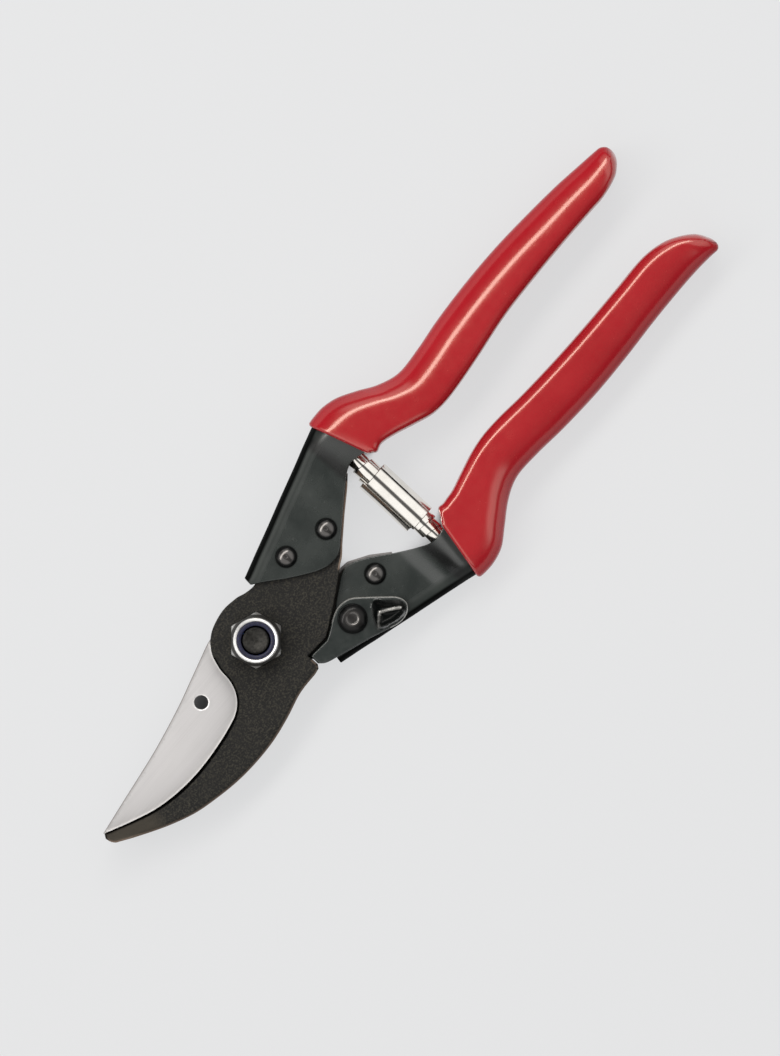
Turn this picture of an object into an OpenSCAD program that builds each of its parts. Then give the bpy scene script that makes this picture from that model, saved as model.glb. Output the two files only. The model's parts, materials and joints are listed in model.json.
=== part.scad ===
// Bypass pruning shears, closed and latched, lying flat. Millimetres.
// The origin is on the pivot axis, on the surface that the shears rest on. +X points to the
// blade's tip, +Y to the blade-side handle and +Z up to the pivot nut.

/* [Blades] */
// Height of the face on which the blade slides past the hook
slide_z = 8; // [7.8:0.1:8.4]
// Thickness of the cutting blade
blade_t = 3.2; // [2.8:0.1:3.4]
// Thickness of the counter hook
hook_t = 5; // [4.8:0.1:5.4]
// Radius of the round hole in the blade
blade_hole_r = 1.9; // [1.5:0.1:2.2]

/* [Handles] */
// Sheet thickness of the pressed handle channels
sheet_t = 1.6; // [1.2:0.1:1.6]
// Outside bend radius at the channels' fronts
bend_r = 3; // [2.4:0.1:3]
// Outside bend radius inside the grips, where the channel's back is almost round
grip_bend_r = 6.8; // [5:0.1:7]
// Overall height of the dipped grips
grip_h = 17; // [16.6:0.1:18]
// Thickness of the PVC dip
dip_t = 1.2; // [0.8:0.1:1.4]

/* [Pivot] */
// Radius of the pivot bolt
bolt_r = 4; // [3.5:0.1:4]
// Radial running clearance on the pivot bolt and on the catch rivet
run_gap = 0.05; // [0.02:0.01:0.1]
// Width across the flats of the nut and of the bolt head
nut_af = 13; // [12:0.5:14]
// Height of the pivot nut
nut_h = 8; // [7.4:0.1:8.5]

/* [Catch] */
// Thickness of the catch plate
catch_t = 2; // [1.6:0.1:2]
// Radius of the shank that the catch turns on
catch_pin_r = 2.6; // [2.2:0.1:2.8]
// Height of the raised thumb tab above the catch plate
tab_h = 3.6; // [2.5:0.1:4]

/* [Rivets and spring] */
// Shank radius of the small rivets
rivet_r = 1.8; // [1.5:0.1:2]
// Head radius of the small rivets
rivet_head_r = 2.7; // [2.4:0.1:2.9]
// Radius of the spring's middle coil
spring_r = 4.85; // [4.6:0.05:5]
// Thickness of the spring's strip
strip_t = 0.7; // [0.6:0.1:0.8]

/* [Hidden] */

fine = 96;
eps = 0.01;

// Layers, from the resting plane up
blade_z = slide_z - blade_t;
hook_top = slide_z + hook_t;
hook_shell_z = [slide_z - sheet_t, hook_top + sheet_t];
blade_shell_z = [blade_z - sheet_t, slide_z + sheet_t];
grip_shell_z = [dip_t, grip_h - dip_t];
washer_t = 0.8;
bolt_head_h = blade_z - washer_t;
nut_top = hook_top + nut_h;
catch_washer_t = 0.3;
catch_z = blade_shell_z[1] + catch_washer_t;
catch_top = catch_z + catch_t;

// Fastener places
hook_rivets = [[-21.7, -8.4], [-34.1, -5.3]];
blade_rivet_at = [-33.65, 12.15];
catch_at = [-20.85, 15.4];
blade_hole_at = [22.05, -0.2];
nut_turn = 41;

// Handle edges, one row a station: outer corner x and y, then inner edge x and y.
// The grip begins at grip_row, and the steel ends at steel_rows.
grip_row = 11;
steel_rows = 25;
hook_side_rows = [
    [-10.25, -13, -10, -10.6], [-13, -13.85, -13, -8.4], [-17, -15.1, -17, -5],
    [-21, -16.3, -21, -2], [-25, -17.5, -24.7, 0.4], [-28.5, -18.6, -28.2, 1.6],
    [-32, -19.7, -31.5, 1.3], [-36, -20.9, -35.5, -1.4], [-41, -22.4, -41, -5.4],
    [-46, -24, -46, -9], [-49, -24.9, -51, -11.8], [-51.75, -25.7, -55.9, -10.9],
    [-54.5, -26, -58, -10.35], [-58, -25.9, -61, -10.2], [-62.2, -24.7, -65, -9],
    [-67, -22, -70, -7], [-72, -18.8, -75, -5.2], [-78, -16.7, -80, -4.7],
    [-86, -17.1, -86.5, -5.1], [-95, -18.2, -95, -6.1], [-107.5, -19, -107.5, -7.8],
    [-120, -19.1, -120, -8.5], [-132, -18.5, -132, -8.8], [-142, -17.7, -142, -8.8],
    [-149, -16.8, -148.5, -8.8], [-154.2, -16.1, -153.8, -9.9], [-156.7, -15.7, -156.7, -11.7],
    [-158.6, -15.1, -158.6, -13.5]
];
blade_side_rows = [
    [-10, 20.75, -10.3, 19.2], [-13, 21.6, -13.5, 16], [-17, 22.7, -17, 12.6],
    [-21, 23.9, -21, 9.5], [-25, 25, -25, 7.1], [-28.5, 26, -28.2, 5.4],
    [-32, 27, -31, 5.3], [-36, 28.1, -35.5, 7.9], [-41, 29.5, -41, 12.3],
    [-46, 30.9, -46.3, 16.1], [-48.5, 31.6, -50, 18], [-50.9, 32.3, -54.5, 17.7],
    [-53.5, 32.7, -57.3, 15.4], [-57, 32.6, -60, 14.6], [-61.2, 31.4, -63.5, 14.2],
    [-66, 28.3, -68.4, 12.9], [-72, 24.5, -74.5, 11.4], [-78, 22.4, -80, 10.75],
    [-86, 22.5, -86.5, 10.9], [-95, 23.3, -95, 11.6], [-107.5, 23.8, -107.5, 12.1],
    [-120, 23.5, -120, 12.2], [-132, 22.8, -132, 12], [-142, 22.5, -142, 11.8],
    [-149, 22.5, -148.4, 13], [-154, 22.8, -152.9, 15.2], [-156.8, 23.1, -156.4, 18.2],
    [-158.4, 23, -158.4, 21.6]
];
// Where each channel begins and ends its change from the tang's height to the grip's, and
// how much gentler that change starts than it ends, 1 being even
hook_side_rise = [-46, -58, 1];
blade_side_rise = [-40, -51.5, 1.5];
// Where the grips' closed ends begin to round off, and how far they run
tail_x = -152.5;
tail_run = 6.6;
row_steps = 2;
bend_steps = 4;

// ---- Curves -------------------------------------------------------------------------

// Point at u, counted in rows, on the Catmull-Rom curve through the rows of p
function spline_at(p, u) =
    let (last = len(p) - 1, i = min(floor(u), last - 1), t = u - i)
    let (a = p[max(i - 1, 0)], b = p[i], c = p[i + 1], d = p[min(i + 2, last)])
    0.5 * (2 * b + (c - a) * t + (2 * a - 5 * b + 4 * c - d) * t * t
        + (3 * b - a - 3 * c + d) * t * t * t);
function smooth(p, steps = 4) =
    [for (k = [0 : (len(p) - 1) * steps]) spline_at(p, k / steps)];
function arc(c, r, a0, a1, n) =
    [for (k = [0 : n]) let (a = a0 + (a1 - a0) * k / n) c + r * [cos(a), sin(a)]];
function ease(s) = let (t = min(max(s, 0), 1)) t * t * (3 - 2 * t);
function mix(a, b, s) = a + (b - a) * s;

// ---- Outlines -----------------------------------------------------------------------

hook_outer = smooth([
    [-3.2, 17.6], [3, 17.9], [10, 19.6], [17, 20.8], [24, 21.1], [31, 20.7],
    [38, 19.5], [45, 17.7], [52, 14.6], [59, 10.6], [64.4, 7.1]
]);
hook_inner = smooth([
    [64.6, 3.3], [58, 6.4], [51, 9.2], [44, 10.7], [37, 11.2], [30, 10.85],
    [23, 9.85], [18, 8.5], [14.6, 5.8], [12.7, 2], [12, -2.4], [10, -7],
    [6, -10.3], [0, -11.75], [-5, -11.2]
]);
hook_tang = [
    [-7.5, -10.3], [-11.2, -10], [-46, -20.7], [-48.8, -10.6], [-45.3, -7.8],
    [-40.3, -4.3], [-34.3, 0.2], [-30.8, 2.9], [-29.3, 3.7], [-25, 6.45],
    [-20, 9.4], [-15, 12.1], [-12.4, 13.3], [-7, 13], [-5.75, 13], [-5.75, 16.4],
    [-5, 17.3]
];
hook_outline = concat(hook_outer, [[65.1, 6], [65.4, 4.4]], hook_inner, hook_tang);

blade_spine = smooth([
    [65, 3], [53.5, 1.15], [46, 0], [38.5, -1.3], [27.5, -3.8], [19.5, -6.1],
    [10, -8.9]
]);
blade_boss = arc([0, 0], 11.2, -62, -158, 12);
blade_tang = [
    [-13, -3.4], [-17.5, -1.5], [-22.5, 1.7], [-27, 3.9], [-29.4, 4.3],
    [-31.5, 4.7], [-36.4, 7.7], [-40.8, 11.6], [-38.5, 25.4], [-10.9, 17.6],
    [-8, 16], [-4, 13.6], [4, 12.2]
];
blade_edge = smooth([
    [12, 11.6], [21, 13.4], [31, 14.3], [41, 13.6], [50, 11.5], [58, 8], [64.9, 3.5]
]);
blade_outline = concat(blade_spine, blade_boss, blade_tang, blade_edge);

catch_nose = [[-12.2, 14], [-7, 13.6], [-6.1, 13.8], [-6, 16.3], [-7, 17.4], [-10, 18.8]];
catch_back = smooth([
    [-20, 22.3], [-24, 23.9], [-28, 25.4], [-31.2, 25.3], [-33.3, 23.5],
    [-33, 20.8], [-30.6, 17.8], [-27.5, 14.4], [-24.8, 11.7], [-22.5, 10.7],
    [-20, 10.6], [-17.5, 11.4], [-15, 12.7]
]);
catch_outline = concat(catch_nose, catch_back);
// The foot and the top of the thumb tab that is drawn up from the catch's lobe
tab_outline = [
    [-32.6, 24], [-33, 22.5], [-32.2, 20.9], [-30, 18.3], [-28, 16.4], [-25.8, 17.7],
    [-24.2, 19.6], [-23.2, 22.2], [-23.8, 23.1], [-26.5, 24.2], [-29, 25], [-31.5, 24.9]
];
tab_top_outline = [
    [-31.2, 24.1], [-31.5, 22.9], [-29.6, 21.4], [-27, 19.6], [-25.6, 20], [-23.6, 22.1],
    [-25.4, 23.2], [-28.6, 24.3]
];

// The slot in the hook's shoulder that the catch's nose enters when the shears open while
// the catch is still forward. Its floor is an arc about the pivot.
slot_z = [catch_z - 0.3, catch_top + 0.3];
slot_floor_r = 14.4;
slot_outline = concat(
    arc([0, 0], slot_floor_r, 118, 82, 12),
    arc([0, 0], slot_floor_r + 9, 82, 118, 4)
);

// ---- Channel sections ----------------------------------------------------------------

// How far the channel has changed from its front section to its grip section, 0 to 1
function risen(x, rise) = ease(pow(max((rise[0] - x) / (rise[0] - rise[1]), 0), rise[2]));

// Lowest and highest z of the steel at a station whose middle is at x
function channel_z(x, front_z, s) =
    let (z = [mix(front_z[0], grip_shell_z[0], s), mix(front_z[1], grip_shell_z[1], s)])
    let (back = min(max((tail_x - x) / tail_run, 0), 1))
    let (half = (z[1] - z[0]) / 2 * sqrt(1 - 0.75 * back * back))
    [(z[0] + z[1]) / 2 - half, (z[0] + z[1]) / 2 + half];

// Half of a C section, from its upper lip round the back to its lower lip. In u, the way
// from the outer corner to the inner edge, and z. inset moves it inwards from the steel's
// outer face.
function c_curve(w, z, bend, inset, lip) =
    let (r = max(min(bend, 0.7 * w, (z[1] - z[0]) / 2 - 0.1) - inset, 0.25))
    concat(
        [[lip, z[1] - inset]],
        arc([inset + r, z[1] - inset - r], r, 90, 180, bend_steps),
        arc([inset + r, z[0] + inset + r], r, 180, 270, bend_steps),
        [[lip, z[0] + inset]]
    );
function reversed(list) = [for (i = [len(list) - 1 : -1 : 0]) list[i]];

// The closed ring of points of one station, between two insets
function ring(row, front_z, rise, inset_out, inset_in, lip_out, closed) =
    let (o = [row[0], row[1]], i = [row[2], row[3]], w = norm(i - o), d = (i - o) / w)
    let (x = (o[0] + i[0]) / 2, s = risen(x, rise), z = channel_z(x, front_z, s))
    let (bend = mix(bend_r, grip_bend_r, s))
    let (outer = c_curve(w, z, bend, inset_out, w + lip_out))
    let (groove = c_curve(w, z, bend, inset_in, w + lip_out))
    let (inner = closed ? [for (p = groove) [w + lip_out, p[1]]] : groove)
    [for (p = concat(outer, reversed(inner))) [o[0] + d[0] * p[0], o[1] + d[1] * p[0], p[1]]];

function steel_ring(rows, u, front_z, rise) =
    ring(spline_at(rows, u), front_z, rise, 0, sheet_t, 0, false);
function dip_ring(rows, u, front_z, rise) =
    ring(spline_at(rows, u), front_z, rise, -dip_t, sheet_t + dip_t, dip_t,
        u > steel_rows + eps);

ring_n = 4 * (bend_steps + 2);

// Two triangles of a quad, with the same diagonal whichever way it faces
function quad(a, b, c, d, flip) = flip ? [[a, c, b], [a, d, c]] : [[a, b, c], [a, c, d]];
function skin(first, rings, flip) = [
    for (k = [0 : rings - 2], i = [0 : ring_n - 1])
        let (a = first + k * ring_n, b = (i + 1) % ring_n)
        each quad(a + i, a + b, a + ring_n + b, a + ring_n + i, flip)
];
// A ring's own cap, a strip between its outer and inner halves
function strip_cap(first, flip) = [
    for (i = [0 : ring_n / 2 - 2])
        each quad(first + i, first + i + 1, first + ring_n - 2 - i, first + ring_n - 1 - i, flip)
];
// A cap between a ring and a smaller ring inside it
function washer_cap(outer, inner, flip) = [
    for (i = [0 : ring_n - 1]) let (j = (i + 1) % ring_n)
        each quad(outer + i, outer + j, inner + j, inner + i, flip)
];

// The steel channel from its front to its rear end
module steel_channel(rows, front_z, rise, flip) {
    count = steel_rows * row_steps + 1;
    points = [for (k = [0 : count - 1]) each steel_ring(rows, k / row_steps, front_z, rise)];
    polyhedron(points, concat(
        skin(0, count, flip),
        strip_cap(0, !flip),
        strip_cap((count - 1) * ring_n, flip)
    ));
}

// The PVC dip: a closed sleeve round the steel channel, with a solid rounded end
module dip_sleeve(rows, front_z, rise, flip) {
    outer_n = (len(rows) - 1 - grip_row) * row_steps + 1;
    inner_n = (steel_rows - grip_row) * row_steps + 1;
    outer = [for (k = [0 : outer_n - 1])
        each dip_ring(rows, grip_row + k / row_steps, front_z, rise)];
    inner = [for (k = [0 : inner_n - 1])
        each steel_ring(rows, grip_row + k / row_steps, front_z, rise)];
    void = outer_n * ring_n;
    polyhedron(concat(outer, inner), concat(
        skin(0, outer_n, flip),
        skin(void, inner_n, !flip),
        washer_cap(0, void, !flip),
        strip_cap((outer_n - 1) * ring_n, flip),
        strip_cap(void + (inner_n - 1) * ring_n, !flip)
    ));
}

// ---- Shared shapes ------------------------------------------------------------------

// A plate of the given outline between two heights
module plate(outline, z) {
    translate([0, 0, z[0]])
        linear_extrude(z[1] - z[0])
            polygon(outline);
}

// A round hole right through
module hole(at, r) {
    translate([at[0], at[1], -1])
        cylinder(r = r, h = nut_top + 2, $fn = fine);
}

// A rivet with a domed, dimpled upper head and a low lower head
module rivet(at, z, shank_r, head_r, head_h, dimple_r) {
    low_h = 0.6 * head_h;
    translate([at[0], at[1], 0])
        rotate_extrude($fn = fine)
            polygon(concat(
                [[0, z[0] - low_h], [head_r * 0.7, z[0] - low_h], [head_r * 0.94, z[0] - low_h * 0.6],
                 [head_r, z[0]], [shank_r, z[0]], [shank_r, z[1]], [head_r, z[1]]],
                [for (a = [15 : 15 : 60]) [mix(dimple_r, head_r, cos(a)), z[1] + head_h * sin(a) / sin(60)]],
                [[dimple_r, z[1] + head_h], [dimple_r * 0.6, z[1] + head_h * 0.8],
                 [0, z[1] + head_h * 0.75]]
            ));
}

// Spring axis, from its seat in the hook-side handle to the one in the blade-side handle
spring_from = [-53.3, -22.4];
spring_to = [-51.6, 28.8];
spring_z = grip_h / 2;
spring_len = norm(spring_to - spring_from);
spring_turn = atan2(spring_to[1] - spring_from[1], spring_to[0] - spring_from[0]);

// Puts what stands along +Z on the spring's axis, at its hook-side seat
module on_spring_axis() {
    translate([spring_from[0], spring_from[1], spring_z])
        rotate([0, 90, spring_turn])
            children();
}

peg_r = 1.6;
peg_len = 6;
peg_nose = 0.6;
// How far a peg's end stays off the dipped wall's face, whose bend is hollow
peg_gap = 0.2;

// A spring peg along +Z with a tapered nose, reaching well below the spring's seat
module peg() {
    rotate_extrude($fn = fine)
        polygon([
            [0, -4], [peg_r, -4], [peg_r, peg_len - peg_nose], [peg_r - peg_nose, peg_len],
            [0, peg_len]
        ]);
}

// The space behind the dipped face of a channel's back wall near the spring
module behind_wall(rows, way) {
    inset = sheet_t + dip_t + peg_gap;
    a = spline_at(rows, grip_row - 1.2);
    b = spline_at(rows, grip_row + 2.2);
    function face(r) =
        let (o = [r[0], r[1]], i = [r[2], r[3]]) o + (i - o) / norm(i - o) * inset;
    plate([face(a), face(b), [face(b)[0], 60 * way], [face(a)[0], 60 * way]], [-1, grip_h + 1]);
}

// ---- Sub-parts ----------------------------------------------------------------------

module hook_blade() {
    color([0.24, 0.21, 0.19])
        difference() {
            plate(hook_outline, [slide_z, hook_top]);
            hole([0, 0], bolt_r + run_gap);
            for (at = hook_rivets) hole(at, rivet_r);
            plate(slot_outline, slot_z);
        }
}

module cutting_blade() {
    color([0.8, 0.81, 0.82])
        difference() {
            plate(blade_outline, [blade_z, slide_z]);
            hole([0, 0], bolt_r + run_gap);
            hole(blade_hole_at, blade_hole_r);
            hole(blade_rivet_at, rivet_r);
            hole(catch_at, catch_pin_r);
        }
}

module shell_hook_side() {
    color([0.17, 0.2, 0.2])
        difference() {
            steel_channel(hook_side_rows, hook_shell_z, hook_side_rise, true);
            for (at = hook_rivets) hole(at, rivet_r);
        }
}

module shell_blade_side() {
    color([0.17, 0.2, 0.2])
        difference() {
            steel_channel(blade_side_rows, blade_shell_z, blade_side_rise, false);
            hole(blade_rivet_at, rivet_r);
            hole(catch_at, catch_pin_r);
        }
}

module grip_hook_side() {
    color([0.74, 0.12, 0.17])
        dip_sleeve(hook_side_rows, hook_shell_z, hook_side_rise, true);
}

module grip_blade_side() {
    color([0.74, 0.12, 0.17])
        dip_sleeve(blade_side_rows, blade_shell_z, blade_side_rise, false);
}

module hook_rivet_front() {
    color([0.16, 0.17, 0.17])
        rivet(hook_rivets[0], hook_shell_z, rivet_r, rivet_head_r, 1.5, 0.7);
}

module hook_rivet_rear() {
    color([0.16, 0.17, 0.17])
        rivet(hook_rivets[1], hook_shell_z, rivet_r, rivet_head_r, 1.5, 0.7);
}

module blade_rivet() {
    color([0.16, 0.17, 0.17])
        rivet(blade_rivet_at, blade_shell_z, rivet_r, rivet_head_r, 1.4, 0.7);
}

// The rivet that fastens the blade's tang and that the catch turns on
module catch_rivet() {
    color([0.3, 0.31, 0.31])
        rivet(catch_at, [blade_shell_z[0], catch_top + run_gap], catch_pin_r, 3.8, 2, 1.75);
}

module pivot_bolt() {
    tip_z = nut_top - 1.6;
    color([0.35, 0.36, 0.37]) {
        cylinder(d = nut_af / cos(30), h = bolt_head_h, $fn = 6);
        cylinder(r = bolt_r, h = nut_top - 2.4, $fn = fine);
        translate([0, 0, nut_top - 2.4])
            cylinder(r1 = bolt_r, r2 = bolt_r - 0.7, h = 0.8, $fn = fine);
        translate([0, 0, tip_z])
            cylinder(r = bolt_r - 0.7, h = 1.1, $fn = fine);
    }
}

module bolt_washer() {
    color([0.6, 0.61, 0.62])
        difference() {
            translate([0, 0, bolt_head_h])
                cylinder(r = nut_af / 2 + 1.2, h = washer_t, $fn = fine);
            hole([0, 0], bolt_r + run_gap);
        }
}

collar_r = 6.1;
insert_r = 5;
insert_h = 2;

module pivot_nut() {
    collar_z = nut_top - 2.2;
    color([0.85, 0.85, 0.84])
        difference() {
            union() {
                intersection() {
                    translate([0, 0, hook_top])
                        rotate([0, 0, nut_turn])
                            cylinder(d = nut_af / cos(30), h = collar_z - hook_top, $fn = 6);
                    // Chamfer that rounds off the corners under the collar
                    translate([0, 0, hook_top])
                        cylinder(r1 = nut_af * 0.85, r2 = collar_r + 0.3,
                            h = collar_z - hook_top, $fn = fine);
                }
                translate([0, 0, collar_z - eps])
                    cylinder(r1 = collar_r, r2 = collar_r - 0.5, h = nut_top - collar_z + eps,
                        $fn = fine);
            }
            translate([0, 0, hook_top - 1])
                cylinder(r = bolt_r, h = nut_h + 2, $fn = fine);
            translate([0, 0, nut_top - insert_h - 0.2])
                cylinder(r = insert_r, h = insert_h + 1, $fn = fine);
        }
}

module nut_insert() {
    color([0.3, 0.33, 0.62])
        translate([0, 0, nut_top - insert_h - 0.2])
            difference() {
                cylinder(r = insert_r, h = insert_h, $fn = fine);
                translate([0, 0, -1])
                    cylinder(r = bolt_r - 0.65, h = insert_h + 2, $fn = fine);
                translate([0, 0, -eps])
                    cylinder(r1 = bolt_r + 0.05, r2 = bolt_r - 0.65, h = 0.9, $fn = fine);
            }
}

module spring_peg_hook_side() {
    color([0.5, 0.5, 0.5])
        difference() {
            on_spring_axis()
                peg();
            behind_wall(hook_side_rows, -1);
        }
}

module spring_peg_blade_side() {
    color([0.5, 0.5, 0.5])
        difference() {
            on_spring_axis()
                translate([0, 0, spring_len])
                    rotate([180, 0, 0])
                        peg();
            behind_wall(blade_side_rows, 1);
        }
}

// Outside of the closed, telescoped coils: radius, and where each step begins and ends
// along the axis. The strip's coils are taken as one wall of steps.
coil_steps = [[2.5, 0], [2.5, 14.6], [3.75, 14.6], [3.75, 17.4], [spring_r, 17.4],
    [spring_r, 34.6], [3.75, 34.6], [3.75, 37.4], [2.5, 37.4], [2.5, spring_len]];

module volute_spring() {
    color([0.9, 0.9, 0.88])
        on_spring_axis()
            rotate_extrude($fn = fine)
                polygon(concat(
                    coil_steps,
                    reversed([for (p = coil_steps) [p[0] - strip_t, p[1]
                        + (p[1] > spring_len / 2 ? -1 : 1) * (p[1] > 1 && p[1] < 50 ? strip_t : 0)]])
                ));
}

module catch_washer() {
    color([0.6, 0.61, 0.62])
        translate([catch_at[0], catch_at[1], blade_shell_z[1]])
            difference() {
                cylinder(r = 4.6, h = catch_washer_t, $fn = fine);
                translate([0, 0, -1])
                    cylinder(r = catch_pin_r + run_gap, h = catch_washer_t + 2, $fn = fine);
            }
}

module thumb_catch() {
    color([0.2, 0.22, 0.22])
        difference() {
            union() {
                plate(catch_outline, [catch_z, catch_top]);
                hull() {
                    plate(tab_outline, [catch_top - eps, catch_top + 0.2]);
                    plate(tab_top_outline, [catch_top + tab_h - 0.2, catch_top + tab_h]);
                }
            }
            hole(catch_at, catch_pin_r + run_gap);
        }
}

hook_blade();
cutting_blade();
shell_hook_side();
shell_blade_side();
grip_hook_side();
grip_blade_side();
hook_rivet_front();
hook_rivet_rear();
blade_rivet();
pivot_bolt();
bolt_washer();
pivot_nut();
nut_insert();
spring_peg_hook_side();
spring_peg_blade_side();
volute_spring();
catch_rivet();
catch_washer();
thumb_catch();
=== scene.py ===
import json
import math

import bmesh
import bpy
import numpy as np
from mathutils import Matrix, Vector, noise
from mathutils.geometry import delaunay_2d_cdt


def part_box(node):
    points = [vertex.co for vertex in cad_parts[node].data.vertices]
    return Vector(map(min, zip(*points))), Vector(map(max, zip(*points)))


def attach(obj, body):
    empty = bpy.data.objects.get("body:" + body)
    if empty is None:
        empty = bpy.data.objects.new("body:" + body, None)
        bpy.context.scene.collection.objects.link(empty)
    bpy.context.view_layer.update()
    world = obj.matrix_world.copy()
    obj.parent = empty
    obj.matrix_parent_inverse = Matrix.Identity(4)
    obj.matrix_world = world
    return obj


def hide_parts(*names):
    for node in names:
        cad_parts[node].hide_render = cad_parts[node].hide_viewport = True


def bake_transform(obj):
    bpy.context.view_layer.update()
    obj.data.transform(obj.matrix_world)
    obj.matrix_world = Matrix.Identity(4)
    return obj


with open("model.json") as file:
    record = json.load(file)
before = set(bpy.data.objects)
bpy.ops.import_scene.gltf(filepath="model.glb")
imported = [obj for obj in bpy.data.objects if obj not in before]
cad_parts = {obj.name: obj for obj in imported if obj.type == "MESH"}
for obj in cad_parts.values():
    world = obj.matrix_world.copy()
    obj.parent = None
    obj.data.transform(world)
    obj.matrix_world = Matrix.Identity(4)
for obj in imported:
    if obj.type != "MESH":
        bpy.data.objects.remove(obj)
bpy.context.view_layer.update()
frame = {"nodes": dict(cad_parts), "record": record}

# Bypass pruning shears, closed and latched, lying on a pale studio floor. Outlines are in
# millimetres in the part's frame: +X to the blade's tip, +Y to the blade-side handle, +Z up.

MM = 0.001
SHARP = 34  # an edge that turns by more degrees than this isn't shaded smooth

# ---- The frame's own facts ----

BODY_OF = {n: b for b, nodes in frame["record"]["behaviour"]["bodies"].items() for n in nodes}


def heights(node):
    """Lowest and highest z of a CAD node."""
    low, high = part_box(node)
    return low.z / MM, high.z / MM


def middle(node):
    """Plan centre of a CAD node."""
    low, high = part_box(node)
    return np.array([(low.x + high.x) / 2, (low.y + high.y) / 2]) / MM


def stand_for(piece, node):
    """The piece rides where the node rides, and the node isn't shown."""
    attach(piece, BODY_OF[node])
    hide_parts(node)


# ---- Meshes ----


def put(name, data):
    thing = bpy.data.objects.new(name, data)
    bpy.context.scene.collection.objects.link(thing)
    return thing


def mesh_object(name, points, faces, material, sharp=SHARP, marks=None):
    """An object from points in millimetres, smooth but for edges sharper than sharp degrees."""
    mesh = bpy.data.meshes.new(name)
    mesh.from_pydata((np.asarray(points, float) * MM).tolist(), [], faces)
    for mark, values in (marks or {}).items():
        layer = mesh.attributes.new(mark, "FLOAT", "POINT")
        layer.data.foreach_set("value", np.asarray(values, np.float32))
    work = bmesh.new()
    work.from_mesh(mesh)
    bmesh.ops.remove_doubles(work, verts=work.verts, dist=1e-7)
    bmesh.ops.dissolve_degenerate(work, edges=work.edges, dist=1e-8)
    bmesh.ops.recalc_face_normals(work, faces=work.faces)
    work.to_mesh(mesh)
    work.free()
    mesh.materials.append(material)
    mesh.shade_smooth()
    mesh.set_sharp_from_angle(angle=math.radians(sharp))
    return put(name, mesh)


def skin(size, count, capped=False):
    """Quads between count rings of size points each, and at will a cap at each end."""
    faces = []
    for first in range(0, (count - 1) * size, size):
        for i in range(size):
            a, b = first + i, first + (i + 1) % size
            faces.append((a, b, b + size, a + size))
    if capped:
        faces += [tuple(range(size)), tuple(range((count - 1) * size, count * size))]
    return faces


def tube(name, rings, material, sharp=SHARP, marks=None):
    """A closed skin over rings, with a cap at each end."""
    faces = skin(len(rings[0]), len(rings), capped=True)
    return mesh_object(name, np.concatenate(rings), faces, material, sharp, marks)


def level_ring(r, z, at=(0, 0), segments=96):
    """Points round the plan point at, r being one radius or one for each point."""
    angles = np.arange(segments) * 2 * math.pi / segments
    x, y = at[0] + r * np.cos(angles), at[1] + r * np.sin(angles)
    return np.stack([x, y, np.full(segments, z)], 1)


def lathe(name, at, profile, material, sharp=SHARP, marks=None):
    """A turned piece round the vertical line at plan point at, from (radius, z) points. Each
    mark has one value a point."""
    rings = [level_ring(r, z, at) for r, z in profile]
    size = len(rings[0])
    marks = {mark: np.repeat(values, size) for mark, values in (marks or {}).items()}
    faces = skin(size, len(rings), capped=profile[0] != profile[-1])
    return mesh_object(name, np.concatenate(rings), faces, material, sharp, marks)


def arc(centre, r, start, stop, steps):
    """Points of an arc, in degrees."""
    angles = np.radians(np.linspace(start, stop, steps + 1))
    return [(centre[0] + r * math.cos(a), centre[1] + r * math.sin(a)) for a in angles]


# ---- Plates ----


def flat_loops(node, z):
    """Loops round the node's flat face at height z, the outer one first and anticlockwise."""
    mesh = frame["nodes"][node].data
    mesh.calc_loop_triangles()
    keys = [tuple(round(c / MM, 3) for c in v.co) for v in mesh.vertices]
    edges = set()
    for triangle in mesh.loop_triangles:
        corners = [keys[i] for i in triangle.vertices]
        if all(abs(c[2] - z) < 0.01 for c in corners):
            for a, b in zip(corners, corners[1:] + corners[:1]):
                if (b, a) in edges:
                    edges.discard((b, a))
                else:
                    edges.add((a, b))
    follow = dict(sorted(edges))
    loops = []
    while follow:
        start = next(iter(follow))
        loop = [start]
        after = follow.pop(start)
        while after != start:
            loop.append(after)
            after = follow.pop(after)
        loops.append(np.array(loop)[:, :2])
    loops.sort(key=lambda loop: -abs(area(loop)))
    return [loop if (area(loop) > 0) == (i == 0) else loop[::-1] for i, loop in enumerate(loops)]


def area(loop):
    x, y = loop[:, 0], loop[:, 1]
    return 0.5 * float(np.sum(x * np.roll(y, -1) - np.roll(x, -1) * y))


def fine_loop(loop, spacing, corner=26, long_side=5.0):
    """The loop with a point every spacing, curved through its points but for corners."""
    count = len(loop)
    step = np.roll(loop, -1, axis=0) - loop
    length = np.linalg.norm(step, axis=1)
    unit = step / length[:, None]
    points = []
    ends = []
    for i in range(count):
        turn = math.degrees(math.acos(float(np.clip(unit[i - 1] @ unit[i], -1, 1))))
        if turn > corner:
            ends.append((unit[i - 1], unit[i]))
        elif length[i - 1] > long_side:
            ends.append((unit[i - 1], unit[i - 1]))
        elif length[i] > long_side:
            ends.append((unit[i], unit[i]))
        else:
            both = unit[i - 1] * length[i] + unit[i] * length[i - 1]
            both = both / np.linalg.norm(both)
            ends.append((both, both))
    for i in range(count):
        p, q = loop[i], loop[(i + 1) % count]
        m, n = ends[i][1] * length[i], ends[(i + 1) % count][0] * length[i]
        if length[i] > long_side:
            m = n = step[i]
        pieces = max(1, int(round(length[i] / spacing)))
        for k in range(pieces):
            t = k / pieces
            points.append(
                (2 * t**3 - 3 * t**2 + 1) * p + (t**3 - 2 * t**2 + t) * m
                + (3 * t**2 - 2 * t**3) * q + (t**3 - t**2) * n
            )
    return np.array(points)


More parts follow.
